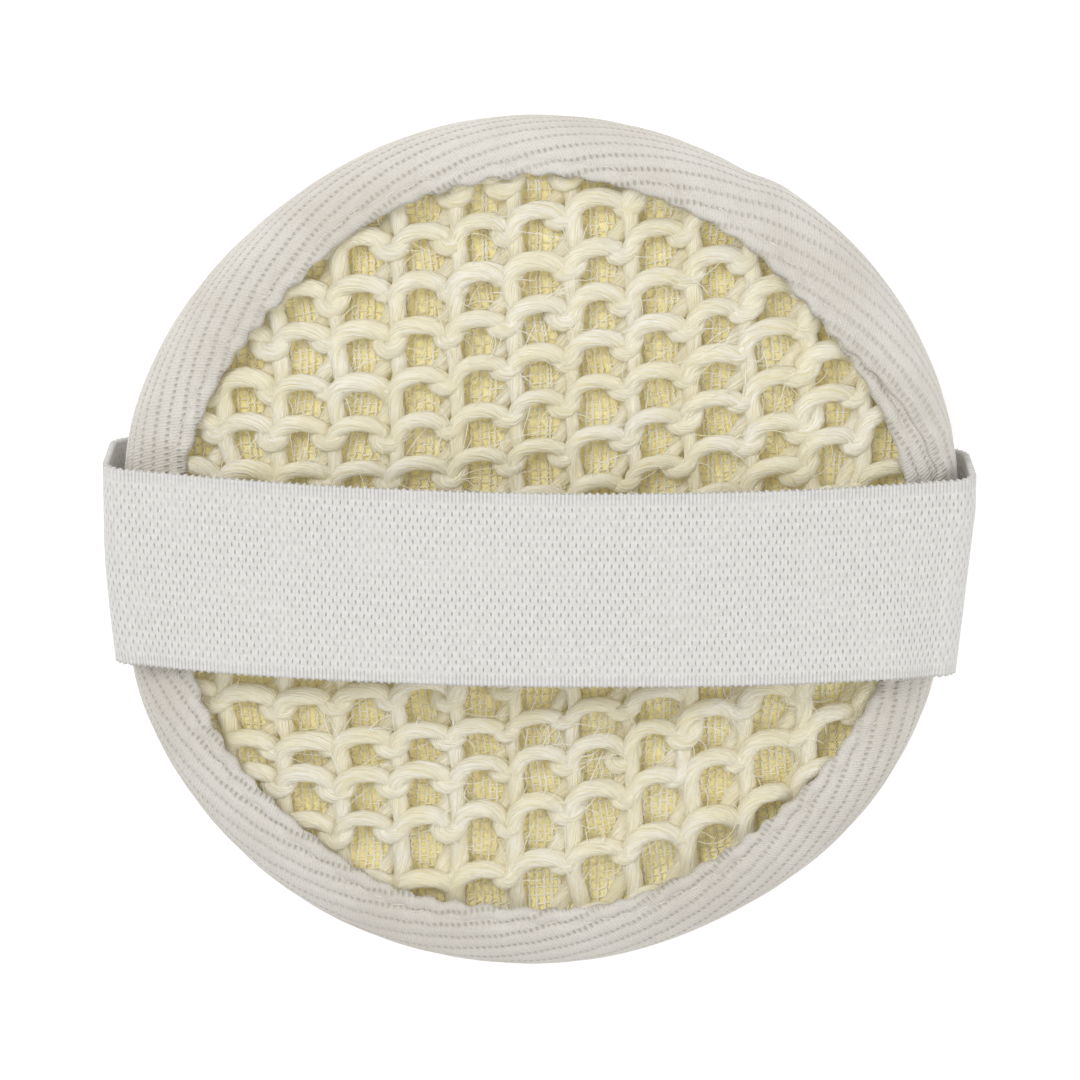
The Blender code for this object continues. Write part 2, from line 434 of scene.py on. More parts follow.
def foam_outline():
    """The foam's outline, from the middle of its front round the rim to its back."""
    front = [(r * MM, float(foam_front(r * MM))) for r in (0.0, *range(2, 65, 2))]
    return front + [(radius * MM, height * MM) for radius, height in FOAM_RIM + FOAM_BACK]


foam = show("foam_core_cut", spun("foam_core_cut", foam_outline()), foam_finish())
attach(foam, "pad")
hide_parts("foam_core")
print("foam:", len(foam.data.polygons), "faces")

# %% [markdown]
# ## The gauze over the foam
# A fine open gauze keeps the foam's crumbs in. Up close it is a leno: two thin threads cross each
# other again and again to make each upright, and short rungs tie the uprights together. A cut-out
# texture would look flat at the edges of the holes, so every thread is a real one, and slow waves
# in the uprights show how the gauze was dragged when it was sewn.

# %% Gauze
GAUZE_PITCH = 1.34 * MM
GAUZE_THREAD = 0.30 * MM
GAUZE_RUNG = 0.22 * MM
GAUZE_RADIUS = 64.5 * MM
GAUZE_LIFT = 0.45 * MM
CROSSING_PITCH = 0.72 * MM
CROSSING_WIDTH = 0.17 * MM
CROSSING_HEIGHT = 0.08 * MM
MISSING_RUNGS = 0.12
GAUZE_CREAM = (0.90, 0.84, 0.60)
GAUZE_PALE = (0.97, 0.95, 0.84)


def gauze_drag(x, y):
    """Where the gauze's threads have been dragged to."""
    return (x + 1.1 * MM * np.sin(y / (13.0 * MM) + 1.3 * np.sin(x / (17.0 * MM)))
            + 0.35 * MM * np.sin(y / (4.1 * MM) + x / (6.3 * MM)),
            y + 0.8 * MM * np.sin(x / (15.0 * MM)))


def gauze_height(x, y):
    """The gauze lies a little above the foam's front."""
    return foam_front(turned_radius(x, y)) + GAUZE_LIFT


def gauze_lines():
    """The uprights, each as two crossing threads, and the rungs between them."""
    rng = np.random.default_rng(7)
    count = int(GAUZE_RADIUS / GAUZE_PITCH)
    uprights, rungs = [], []
    for column in range(-count, count + 1):
        middle = column * GAUZE_PITCH
        reach = np.sqrt(max(GAUZE_RADIUS ** 2 - middle ** 2, 0.0)) * 0.99
        steps = max(int(2.0 * reach / CROSSING_PITCH), 3)
        y = np.linspace(-reach, reach, steps)
        wander = np.cumsum(rng.normal(0.0, 0.05 * MM, steps)) * 0.35
        for hand in (-1.0, 1.0):
            cross = hand * CROSSING_WIDTH * np.where(np.arange(steps) % 2 == 0, 1.0, -1.0)
            x, yy = gauze_drag(middle + wander + cross, y)
            level = gauze_height(x, yy) + hand * CROSSING_HEIGHT
            uprights.append(np.column_stack((x, yy, level)))
        for row in range(1, steps - 1, 2):
            if rng.random() < MISSING_RUNGS:
                continue
            ends = np.array([middle, middle + GAUZE_PITCH])
            levels = y[row] + rng.normal(0.0, 0.12 * MM, 2)
            x, yy = gauze_drag(ends, levels)
            rungs.append(np.column_stack((x, yy, gauze_height(x, yy))))
    return uprights, rungs


def gauze_finish():
    """Fine cotton, cream with paler patches."""
    finish = Finish("gauze", 0.85)
    patches = finish.noise(finish.place(), 160.0, detail=2.0)
    finish.paint(finish.mix(patches.fade(0.3, 0.7), GAUZE_CREAM, GAUZE_PALE))
    fibres = finish.noise(finish.place(), 5200.0, detail=1.0)
    finish.relief(fibres, 0.00004)
    return finish


uprights, rungs = gauze_lines()
gauze_meshes = [threads("uprights", uprights, GAUZE_THREAD), threads("rungs", rungs, GAUZE_RUNG)]
gauze = show("gauze_threads", joined("gauze_threads", gauze_meshes, close=False), gauze_finish())
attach(gauze, "pad")
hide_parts("gauze_scrim")
print("gauze:", len(uprights), "threads up,", len(rungs), "rungs,", len(gauze.data.polygons), "faces")

# %% [markdown]
# ## The sisal knit
# The front is a plain knit of thick sisal yarn with its purl side out. One line of yarn makes a
# row of loops: it runs along a low hollow, up a leg, over a round head and down behind. A formula
# says this better than hand-placed points. Along a row the yarn's place is a steady advance plus
# a wave twice as fast, which narrows each loop at its neck; up and down it is one plain wave, a
# little taller than the distance between rows, so that each row hooks into the next. In depth it
# is the fast wave again: heads and hollows lie in front, and the legs cross behind them. A shear
# leans the loops, as the knit on the pad was pulled on the skew.
#
# The rows climb to the right and the last ones are stretched. Small seeded changes to each loop
# keep it from looking printed.

# %% Knit geometry
YARN_HALF_WIDTH = 1.3 * MM
YARN_HALF_HEIGHT = 1.05 * MM
COLUMN_PITCH = 9.8 * MM
ROW_PITCH = 7.7 * MM
LOOP_HALF_HEIGHT = 5.55 * MM
NECK = 1.65 * MM
SPREAD = 1.2 * MM
TUCK = 1.7 * MM
HEADS_OVER = 0.55 * MM
LEAN = 0.35 * MM
DEPTH = 1.0 * MM
LEFT_LEG_FORWARD = 0.85 * MM
LOOP_STEPS = 22
YARN_SIDES = 10
KNIT_EDGE = 67.0 * MM
ROW_SLOPE = 0.205
ROW_BEND = 2.2
LATTICE_X = 4.4 * MM
LATTICE_Y = -0.85 * MM
LOWEST_ROW = -9
HIGHEST_ROW = 9
STITCHES_EACH_WAY = 8.0
STRETCHED_BELOW = -5.5
STRETCH = 3.2 * MM
SPREAD_TABLE = 40
LOOP_SPREAD = np.random.default_rng(21).normal(0.0, 1.0, (SPREAD_TABLE, SPREAD_TABLE, 6))
YARN_TWIST = 1400.0


def row_height(row):
    """How far up the pad a row of the knit lies; the lowest rows are stretched."""
    stretched = max(STRETCHED_BELOW - row, 0.0)
    return row * ROW_PITCH - stretched * STRETCH


def loop_change(row, stitch, which):
    """A seeded change for a loop, blended from stitch to stitch."""
    low = np.floor(stitch).astype(int)
    part = stitch - low
    part = part * part * (3.0 - 2.0 * part)
    values = LOOP_SPREAD[row % SPREAD_TABLE, :, which]
    return values[low % SPREAD_TABLE] * (1.0 - part) + values[(low + 1) % SPREAD_TABLE] * part


def yarn_line(row):
    """The line of one row of loops across the whole pad."""
    stitch = np.arange(-STITCHES_EACH_WAY, STITCHES_EACH_WAY, 1.0 / LOOP_STEPS)
    turn = 2.0 * pi * stitch
    loose = 1.0 + 0.9 * eased(stitch * COLUMN_PITCH, 24.0 * MM, 48.0 * MM)
    tall = LOOP_HALF_HEIGHT * (1.0 + 0.06 * loose * loop_change(row, stitch, 0))
    tall = tall + 0.45 * (row_height(row) - row_height(row - 1) - ROW_PITCH)
    neck = NECK * (1.0 + 0.14 * loose * loop_change(row, stitch, 1))
    x = LATTICE_X + COLUMN_PITCH * stitch + neck * np.sin(2.0 * turn) - LEAN * np.cos(turn)
    x = x - SPREAD * np.sin(turn) + TUCK * np.maximum(-np.sin(turn), 0.0) ** 4
    x = x + 0.42 * MM * loose * loop_change(row, stitch, 2)
    middle = LATTICE_X + COLUMN_PITCH * stitch
    y = LATTICE_Y + row_height(row) + ROW_SLOPE * middle + ROW_BEND * middle ** 2
    y = y - tall * np.cos(turn) + 0.40 * MM * loose * loop_change(row, stitch, 3)
    wave = DEPTH * np.cos(2.0 * turn) + LEFT_LEG_FORWARD * np.sin(turn)
    wave = wave - HEADS_OVER * np.cos(turn)
    wave = wave + 0.22 * MM * loose * loop_change(row, stitch, 4)
    return np.column_stack((x, y, wave))


def laid_on_pad(line):
    """Put a row's yarn on the pad, flatter towards the binding that pinches it."""
    radius = turned_radius(line[:, 0], line[:, 1])
    pinch = 1.0 - 0.5 * eased(radius, 59.0 * MM, 66.0 * MM)
    crown = YARN_HALF_HEIGHT + DEPTH + HEADS_OVER
    z = knit_top(radius) + pinch * (line[:, 2] - crown)
    return np.column_stack((line[:, 0], line[:, 1], z)), pinch


def inside_runs(line, edge):
    """The stretches of a line that lie inside a turned radius."""
    inside = turned_radius(line[:, 0], line[:, 1]) < edge
    changes = np.flatnonzero(np.diff(inside.astype(int)))
    pieces = np.split(np.arange(len(line)), changes + 1)
    return [piece for piece in pieces if inside[piece[0]] and len(piece) > 6]


def knit_rows():
    """Every row's lines on the pad, with the width and height of the yarn along them."""
    rows = []
    for row in range(LOWEST_ROW, HIGHEST_ROW + 1):
        line = yarn_line(row)
        for piece in inside_runs(line, KNIT_EDGE):
            laid, pinch = laid_on_pad(line[piece])
            stitch = piece / LOOP_STEPS
            thick = 1.0 + 0.07 * loop_change(row + 11, stitch * 1.7, 5)
            radius = turned_radius(laid[:, 0], laid[:, 1])
            thick = thick * (1.0 + 0.24 * eased(radius, 20.0 * MM, 52.0 * MM))
            rows.append((laid, YARN_HALF_WIDTH * thick, YARN_HALF_HEIGHT * pinch * thick))
    return rows


rows_of_yarn = knit_rows()
print("knit:", len(rows_of_yarn), "lengths of yarn")

# %% [markdown]
# Sisal yarn is a loose twist of long, hard, shiny leaf fibres. Its finish follows the yarn's own
# UV map: noise is stretched a long way along the yarn and turned a little round it, for the
# twist. The same fibres drive the colour, the roughness and the bump. The colour has painted
# shade between the fibres, and the raised fibres are paler, partly their own tone and partly a
# painted highlight. A weak emission adds a painted glow.

# %% Sisal finish
# A painted glow for the yarn, which is no lamp.
SISAL_PAINTED_GLOW = (0.80, 0.68, 0.34, 1.0)
SISAL_PALE = (0.885, 0.855, 0.77)
SISAL_CREAM = (0.86, 0.81, 0.63)
# Painted shade between the fibres.
SISAL_PAINTED_SHADE = (0.74, 0.655, 0.40)
# A painted highlight on the raised fibres, partly their own paler tone.
SISAL_PAINTED_SHINE = (0.95, 0.945, 0.91)
SISAL_RELIEF = 0.9 * MM


def sisal_finish():
    """Long pale fibres that shine, paler where raised, partly by their own tone and partly by a
    painted highlight, with painted shade between them and a painted glow.
    """
    # The weak emission paints a glow into the yarn.
    finish = Finish("sisal", 0.62, sheen_weight=0.25, sheen_roughness=0.4,
                    emission_color=SISAL_PAINTED_GLOW, emission_strength=0.12)
    along, round_it = finish.cloth()
    laid = finish.spot(along * 0.06, round_it * 1.6 + along * 0.55)
    fibres = finish.noise(laid, 2.6, detail=4.0, roughness=0.65)
    strands = finish.noise(finish.spot(along * 0.04, round_it * 0.6 + along * 0.21), 1.7)
    patches = finish.noise(finish.place(), 110.0, detail=2.0)
    warm = finish.mix(patches.fade(0.32, 0.72), SISAL_CREAM, SISAL_PALE)
    # Painted shade where the fibres lie low.
    painted_shade = finish.mix(fibres.fade(0.53, 0.36) * 0.9, warm, SISAL_PAINTED_SHADE)
    # A painted highlight where the fibres stand high, partly their own paler tone.
    finish.paint(finish.mix(fibres.fade(0.54, 0.66) * 0.75, painted_shade, SISAL_PAINTED_SHINE))
    finish.rough(fibres.fade(0.3, 0.7) * -0.22 + 0.72)
    finish.relief(fibres * 0.6 + strands * 0.6, SISAL_RELIEF, strength=0.9)
    return finish


yarns = [rolled_yarn(line, width, height, YARN_SIDES, YARN_TWIST)
         for line, width, height in rows_of_yarn]
knit = show("sisal_yarn_knit", joined("sisal_yarn_knit", yarns), sisal_finish())
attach(knit, "pad")
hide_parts("sisal_knit")
print("knit:", len(knit.data.polygons), "faces")

# %% [markdown]
# ## Loose fibres
# Sisal sheds. Single fibres stand out of the yarn in shallow arcs, and some lie across the holes.
# Each is a thin thread that starts on a yarn, leaves it at a narrow angle and bends back.

# %% Loose fibres
FIBRE_THICKNESS = 0.11 * MM
FIBRE_COUNT = 1100
FIBRE_POINTS = 7
FIBRE_EDGE = 58.0 * MM
FIBRE_CREAM = (0.88, 0.84, 0.66)
FIBRE_PALE = (0.97, 0.96, 0.90)


def loose_fibre(rng, line):
    """One fibre that leaves a yarn's line and curls back towards the pad."""
    start = rng.integers(4, len(line) - 5)
    origin = line[start] + np.array((0.0, 0.0, YARN_HALF_HEIGHT * 0.85))
    heading = np.arctan2(*(line[start + 3] - line[start - 3])[[1, 0]]) + rng.normal(0.0, 0.7)
    length = rng.uniform(2.0, 6.0) * rng.uniform(0.8, 2.4) * MM
    curl = rng.normal(0.0, 1.1)
    rise = rng.uniform(0.1, 0.7) * MM
    t = np.linspace(0.0, 1.0, FIBRE_POINTS)
    bend = heading + curl * t
    x = origin[0] + np.cumsum(np.cos(bend)) * length / FIBRE_POINTS
    y = origin[1] + np.cumsum(np.sin(bend)) * length / FIBRE_POINTS
    z = origin[2] + rise * np.sin(pi * t) - 0.9 * MM * t
    return np.column_stack((x, y, z))


def loose_fibres():
    """Fibres from any length of yarn, as long as they end well inside the binding."""
    rng = np.random.default_rng(5)
    fibres = []
    while len(fibres) < FIBRE_COUNT:
        line = rows_of_yarn[rng.integers(len(rows_of_yarn))][0]
        if len(line) < 20:
            continue
        fibre = loose_fibre(rng, line)
        if turned_radius(fibre[:, 0], fibre[:, 1]).max() < FIBRE_EDGE:
            fibres.append(fibre)
    return fibres


def fibre_finish():
    """Single fibres are paler and smoother than the yarn."""
    finish = Finish("sisal_fibre", 0.55)
    tone = finish.noise(finish.place(), 60.0)
    finish.paint(finish.mix(tone.fade(0.35, 0.65), FIBRE_CREAM, FIBRE_PALE))
    return finish


fibres = show("loose_fibres", threads("loose_fibres", loose_fibres(), FIBRE_THICKNESS),
              fibre_finish())
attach(fibres, "pad")
print("fibres:", FIBRE_COUNT)

# %% [markdown]
# ## The binding
# One strip of cotton twill tape wraps the rim: it starts on the front, goes over the rounded edge
# and ends on the back. Its front edge wanders, puckered between the stitches. The strip is a
# grid: one direction follows the strip round the pad, the other crosses it from the front edge to
# the back edge. Where the strip meets itself its tail lies on top, cut along the twill.
#
# The tape's own ribs are shaped in the mesh, a row of soft ridges at a low angle to the rim. The
# small holes beside each rib are finer than the mesh and come from the finish, which paints them
# dark as painted shade and puts painted shade between the ribs and floats. The rim is fuller
# at the lower left, and the strap draws it in where it crosses, more on the right.
#
# `BINDING_SECTION` gives turned radius and height in millimetres, from the front edge round the
# rim to the back edge. `FRONT_EDGE` gives the front edge's turned radius every 45 degrees.

# %% Binding geometry
BINDING_SECTION = [(53.0, 27.4), (58.6, 26.4), (64.5, 25.2), (69.2, 22.2), (71.0, 17.0),
                   (71.0, 11.5), (69.3, 7.4), (64.5, 4.7), (57.6, 3.6)]
BINDING_THICKNESS = 1.0 * MM
BINDING_START = radians(54.0)
LAP_SQUARE = radians(17.0)
LAP_LENGTH = radians(57.0)
LAP_WIDTH = 9.0 * MM
LAP_RAMP = radians(8.0)
LAP_LIFT = BINDING_THICKNESS + 0.25 * MM
RIM_RADIUS = 66.0
RIM_LENGTH = 2.0 * pi * RIM_RADIUS
RIB_PITCH = 2.35
RIB_ANGLE = radians(13.0)
RIB_HEIGHT = 0.22 * MM
FRONT_EDGE = [63.0, 61.6, 64.4, 61.4, 61.2, 62.0, 60.6, 59.4]
FRONT_POINTS = 120
EDGE_WANDER = 0.65 * MM
PUCKER_COUNT = 82.0
PUCKER_DEPTH = 0.34 * MM
SCALLOP = 0.42 * MM
FRONT_GROOVE = 0.45 * MM
BACK_GROOVE = 0.35 * MM
GROOVE_WIDTH = 0.75 * MM
EDGE_DROP = 0.75 * MM
PIN_PITCH = 1.05
SEAM_INSET = 2.3 * MM
FULLEST = radians(226.0)
FULLER = 1.9 * MM
DENT_RIGHT = 1.5 * MM
DENT_LEFT = 1.1 * MM
DENT_HALF = 20.0 * MM
TWILL_SHADE = (0.63, 0.592, 0.53)
TWILL_PALE = (0.715, 0.688, 0.64)
# Painted shade between the ribs and floats.
TWILL_GROOVE_PAINTED_SHADE = (0.47, 0.43, 0.35)
# Painted shade in the pinholes.
TWILL_HOLE_PAINTED_SHADE = (0.42, 0.39, 0.32)
TWILL_RELIEF = 0.30 * MM


def section_arrays():
    """The binding's section as smooth arrays: length across, turned radius and height."""
    points = np.array(BINDING_SECTION) * MM
    t = np.arange(len(points))
    fine = np.linspace(0.0, len(points) - 1.0, 400)
    soft = []
    for axis in (0, 1):
        values = np.interp(fine, t, points[:, axis])
        kernel = np.hanning(61)
        padded = np.pad(values, 30, mode="reflect", reflect_type="odd")
        soft.append(np.convolve(padded, kernel / kernel.sum(), mode="valid"))
    steps = np.hypot(np.diff(soft[0]), np.diff(soft[1]))
    return np.concatenate(([0.0], np.cumsum(steps))), soft[0], soft[1]


SECTION_ACROSS, SECTION_RADIUS, SECTION_HEIGHT = section_arrays()
SECTION_LENGTH = SECTION_ACROSS[-1]


def ripple(angle, waves, seed):
    """A smooth closed ripple round the pad, from about -1 to 1."""
    rng = np.random.default_rng(seed)
    total = np.zeros_like(np.asarray(angle, float))
    for step in range(5):
        total += np.sin(angle * (waves + step) + rng.uniform(0.0, 2.0 * pi)) * rng.uniform(0.4, 1.0)
    return total / 2.6


def front_edge(travelled):
    """Where the front edge lies across the section; the tail's edge slants away outwards."""
    angle = BINDING_START - travelled
    around = np.radians(np.arange(0, 405, 45))
    radius = np.interp(np.mod(angle, 2.0 * pi), around, FRONT_EDGE + FRONT_EDGE[:1]) * MM
    radius = radius + EDGE_WANDER * ripple(angle, 7, 3)
    scallop = SCALLOP * np.sin(PUCKER_COUNT * angle + 2.6 * ripple(angle, 9, 4))
    scallop = scallop * (0.55 + 0.45 * ripple(angle, 7, 8))
    edge = np.interp(radius + scallop, SECTION_RADIUS[:FRONT_POINTS], SECTION_ACROSS[:FRONT_POINTS])
    past_square = np.clip((travelled - 2.0 * pi - LAP_SQUARE) / (LAP_LENGTH - LAP_SQUARE), 0.0, 1.0)
    return edge + LAP_WIDTH * past_square


def binding_surface(travelled, across, out):
    """A point on the binding: angle travelled along the strip, place across, and height off it."""
    angle = BINDING_START - travelled
    lift = LAP_LIFT * eased(travelled, 2.0 * pi - LAP_RAMP, 2.0 * pi - 0.01)
    radius = np.interp(across, SECTION_ACROSS, SECTION_RADIUS)
    height = np.interp(across, SECTION_ACROSS, SECTION_HEIGHT)
    along_r = np.interp(across, SECTION_ACROSS, np.gradient(SECTION_RADIUS, SECTION_ACROSS))
    along_z = np.interp(across, SECTION_ACROSS, np.gradient(SECTION_HEIGHT, SECTION_ACROSS))
    size = np.hypot(along_r, along_z)
    radius = radius - along_z / size * (out + lift)
    height = height + along_r / size * (out + lift)
    x, y = on_oval(radius, angle)
    return x, y, height


def binding_relief(travelled, across):
    """How far the cloth stands off its section: ribs, puckers, the seam's groove and the edges."""
    angle = BINDING_START - travelled
    from_front = across - front_edge(travelled)
    from_back = SECTION_LENGTH - across
    rib = (across / MM * cos(RIB_ANGLE) - travelled / (2.0 * pi) * RIM_LENGTH * sin(RIB_ANGLE))
    ridges = RIB_HEIGHT * (0.5 + 0.5 * np.cos(2.0 * pi * rib / RIB_PITCH))
    inner = np.exp(-np.minimum(from_front, from_back) / (3.2 * MM))
    puckers = PUCKER_DEPTH * inner * np.sin(PUCKER_COUNT * angle + 2.2 * ripple(angle, 9, 4) + 1.2)
    groove = -FRONT_GROOVE * np.exp(-((from_front - SEAM_INSET) / GROOVE_WIDTH) ** 2)
    groove = groove - BACK_GROOVE * np.exp(-((from_back - SEAM_INSET) / GROOVE_WIDTH) ** 2)
    near_edge = np.clip(1.0 - np.minimum(from_front, from_back) / (0.9 * MM), 0.0, 1.0)
    edge = -EDGE_DROP * near_edge ** 2
    slow = 0.35 * MM * ripple(angle + across * 40.0, 5, 11)
    fuller = (np.cos(angle - FULLEST) * 0.5 + 0.5) ** 6
    under_strap = np.exp(-((np.sin(angle) * binding_high.y - STRAP_CENTRE_Y) / DENT_HALF) ** 4)
    dent = np.where(np.cos(angle) > 0.0, DENT_RIGHT, DENT_LEFT) * under_strap
    on_rim = np.exp(-((across / SECTION_LENGTH - 0.55) / 0.3) ** 2)
    slow = slow + (FULLER * fuller - dent) * on_rim
    tail = 1.0 - 0.55 * eased(travelled, 2.0 * pi - 0.25, 2.0 * pi + 0.1)
    return ridges * tail * (1.0 - 0.6 * inner) + puckers + groove + edge + slow


def binding_place(u, v):
    """Where a point of the strip lies, from its place along (u) and across (v)."""
    travelled = u * (2.0 * pi + LAP_LENGTH)
    edge = front_edge(travelled)
    return travelled, edge + v * (SECTION_LENGTH - edge)


def edge_binding_mesh():
    """The strip's grid, laid round the rim, with its UV map in millimetres of tape."""
    def place(u, v):
        travelled, across = binding_place(u, v)
        return binding_surface(travelled, across, binding_relief(travelled, across))

    def weave(u, v):
        travelled, across = binding_place(u, v)
        return travelled / (2.0 * pi) * RIM_LENGTH, across / MM

    return cloth_grid("edge_binding_tape", 460, 92, place, weave)


TAPE_WIDTH = SECTION_LENGTH - float(np.mean(front_edge(np.linspace(0.0, 2.0 * pi, 90))))


def twill_finish():
    """Cotton twill: fine slanted floats on each rib and a row of pinholes beside it, with painted
    shade in the pinholes and between the ribs and floats.
    """
    finish = Finish("cotton_twill", 0.88, sheen_weight=0.3, sheen_roughness=0.5)
    along, across = finish.cloth()
    rib = (across * cos(RIB_ANGLE) - along * sin(RIB_ANGLE)) / RIB_PITCH
    run = (along * cos(RIB_ANGLE) + across * sin(RIB_ANGLE)) / PIN_PITCH
    wobble = finish.noise(finish.spot(along * 0.9, across * 0.9), 1.0) - 0.5
    beside = ((rib + wobble * 0.22).part() - 0.5).size()
    down = ((run + rib.whole() * 0.37 + rib * 0.5 + wobble * 0.3).part() - 0.5).size()
    holes = beside.fade(0.21, 0.05) * down.fade(0.30, 0.06)
    floats = (run * 2.0 + rib * 1.6).wave()
    yarns = finish.noise(finish.spot(along * 0.9, across * 0.9), 3.2, detail=3.0)
    patches = finish.noise(finish.place(), 55.0, detail=3.0)
    tone = finish.mix(patches.fade(0.3, 0.7), TWILL_SHADE, TWILL_PALE)
    # Painted shade where the ribs, floats and yarns lie low.
    between = beside.fade(0.30, 0.02) * 0.22 + floats.fade(0.45, 0.05) * 0.14
    shaded = finish.mix(between + yarns.fade(0.55, 0.35) * 0.25, tone, TWILL_GROOVE_PAINTED_SHADE)
    # Noise that makes the pinholes' painted shade patchy.
    patchy_shade = finish.noise(finish.spot(along * 0.05, across * 0.16), 1.0, detail=3.0)
    tail = 1.0 - along.fade(RIM_LENGTH * 0.96, RIM_LENGTH * 1.02) * 0.55
    # Painted shade in the pinholes, weaker on the lapped tail.
    painted_shade = holes * patchy_shade.fade(0.28, 0.60) * tail * 0.8
    finish.paint(finish.mix(painted_shade, shaded, TWILL_HOLE_PAINTED_SHADE))
    height = floats * 0.3 + yarns * 0.6 - holes * 0.7 + beside * 0.6
    finish.relief(height, TWILL_RELIEF, strength=0.8)
    return finish


binding = show("edge_binding_tape", edge_binding_mesh(), twill_finish())
wall(binding, BINDING_THICKNESS * 0.8)
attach(binding, "pad")
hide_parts("edge_binding")
print("binding:", len(binding.data.polygons), "faces a side")

# %% [markdown]
# ## The seam
# One row of lock stitches goes through the whole edge. On the front it shows as short lengths of
# needle thread that dip into the cloth at each end, and on the back the bobbin thread does the
# same. The rings in the frame stand for them, so each row replaces its ring.

# %% Seam stitches
STITCH_PITCH = 3.1 * MM
STITCH_THREAD = 0.28 * MM
STITCH_POINTS = 7
STITCH_SHARE = 0.43
STITCH_RISE = 0.28 * MM
STITCH_SUNK = 0.22 * MM
FRONT_SEAM_RADIUS = 60.6 * MM
BACK_SEAM_RADIUS = 59.2 * MM
THREAD_SHADE = (0.62, 0.58, 0.50)
THREAD_PALE = (0.74, 0.71, 0.64)


def seam_line(front):
    """The stitches of one side, each a short arc that dips in at both ends."""
    seam_radius = FRONT_SEAM_RADIUS if front else BACK_SEAM_RADIUS
    count = int(2.0 * pi * seam_radius / STITCH_PITCH)
    stitches = []
    for stitch in range(count):
        middle = LAP_SQUARE + (stitch + 0.5) / count * 2.0 * pi
        half = STITCH_SHARE * STITCH_PITCH / seam_radius
        travelled = middle + np.linspace(-half, half, STITCH_POINTS)
        if front:
            across = front_edge(travelled) + SEAM_INSET
        else:
            across = np.full(STITCH_POINTS, SECTION_LENGTH - SEAM_INSET)
        arc = STITCH_RISE * np.sin(np.linspace(0.0, pi, STITCH_POINTS)) - STITCH_SUNK
        out = binding_relief(travelled, across) + BINDING_THICKNESS * 0.4 + arc
        stitches.append(np.column_stack(binding_surface(travelled, across, out)))
    return stitches


def sewing_thread_finish():
    """Matt cotton thread, for the seam and the bar tacks."""
    finish = Finish("sewing_thread", 0.75, sheen_weight=0.2)
    twist = finish.noise(finish.place(), 2600.0, detail=2.0)
    finish.paint(finish.mix(twist.fade(0.35, 0.65), THREAD_SHADE, THREAD_PALE))
    finish.relief(twist, 0.00006)
    return finish


thread = sewing_thread_finish()
for name, front in (("front_seam", True), ("back_seam", False)):
    seam = show(name + "_stitches", threads(name, seam_line(front), STITCH_THREAD, 1), thread)
    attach(seam, "pad")
    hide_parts(name + "_thread")
    print(name, "stitches:", len(seam.data.polygons), "faces")

# %% [markdown]
# ## The back cloth
# The back is a disc of cotton terry, flat where the pad lies on it, that turns up under the
# binding. Terry is a ground cloth with loops of yarn pulled out of it. The ground is spun from
# its section and the loops are short threads, set a little irregularly.

# %% Back cloth
BACK_LINE = ([0, 50, 53.3, 56.6, 62.0, 66.0], [0.0, 0.0, 1.1, 4.7, 6.2, 8.8])
GROUND_RADII = (0.0, 12.0, 24.0, 36.0, 44.0, 48.0, 51.0, 53.0, 55.0, 57.0, 60.0, 63.0, 65.5)
GROUND_LIFT = 1.15 * MM
GROUND_THICKNESS = 0.6 * MM
LOOP_PITCH = 1.7 * MM
LOOP_ROW_PITCH = LOOP_PITCH * 0.866
LOOP_THREAD = 0.42 * MM
PILE_RADIUS = 57.0 * MM
COLUMNS_EACH_WAY = 36
TERRY_SHADE = (0.74, 0.71, 0.63)
TERRY_PALE = (0.84, 0.82, 0.76)
# Painted shade for the hollows.
TERRY_HOLLOW_PAINTED_SHADE = (0.60, 0.56, 0.47)


def back_height(radius):
    """The height of the back's lowest loops at a turned radius."""
    return back_low.z + np.interp(radius / MM, *BACK_LINE) * MM


def ground_outline():
    """The terry's ground cloth, from the middle of the back to under the binding."""
    return [(r * MM, float(back_height(r * MM)) + GROUND_LIFT) for r in GROUND_RADII]


def terry_loops():
    """Short arcs of yarn, in staggered rows, each turned a little its own way."""
    rng = np.random.default_rng(9)
    loops = []
    rows = int(PILE_RADIUS / LOOP_ROW_PITCH) + 1
    for row in range(-rows, rows + 1):
        y = row * LOOP_ROW_PITCH
        for column in range(-COLUMNS_EACH_WAY, COLUMNS_EACH_WAY + 1):
            x = (column + 0.5 * (row % 2)) * LOOP_PITCH
            if turned_radius(x, y) > PILE_RADIUS:
                continue
            spot = np.array((x, y)) + rng.normal(0.0, 0.22 * MM, 2)
            heading = rng.uniform(0.0, pi)
            reach = rng.uniform(0.55, 0.8) * MM
            t = np.linspace(-1.0, 1.0, 5)
            across = np.column_stack((np.cos(heading) * t, np.sin(heading) * t)) * reach
            place = spot + across
            ground = back_height(turned_radius(place[:, 0], place[:, 1]))
            drop = GROUND_LIFT * (1.0 - (1.0 - t ** 2) * rng.uniform(0.68, 0.78))
            loops.append(np.column_stack((place, ground + drop)))
    return loops


def terry_finish():
    """Soft unbleached cotton with painted shade in its hollows."""
    finish = Finish("terry_cotton", 0.95, sheen_weight=0.35, sheen_roughness=0.6)
    patches = finish.noise(finish.place(), 70.0, detail=3.0)
    fuzz = finish.noise(finish.place(), 3600.0, detail=2.0)
    tone = finish.mix(patches.fade(0.3, 0.7), TERRY_SHADE, TERRY_PALE)
    # Painted shade where the fuzz lies low.
    finish.paint(finish.mix(fuzz.fade(0.6, 0.35) * 0.3, tone, TERRY_HOLLOW_PAINTED_SHADE))
    finish.relief(fuzz, 0.00012)
    return finish


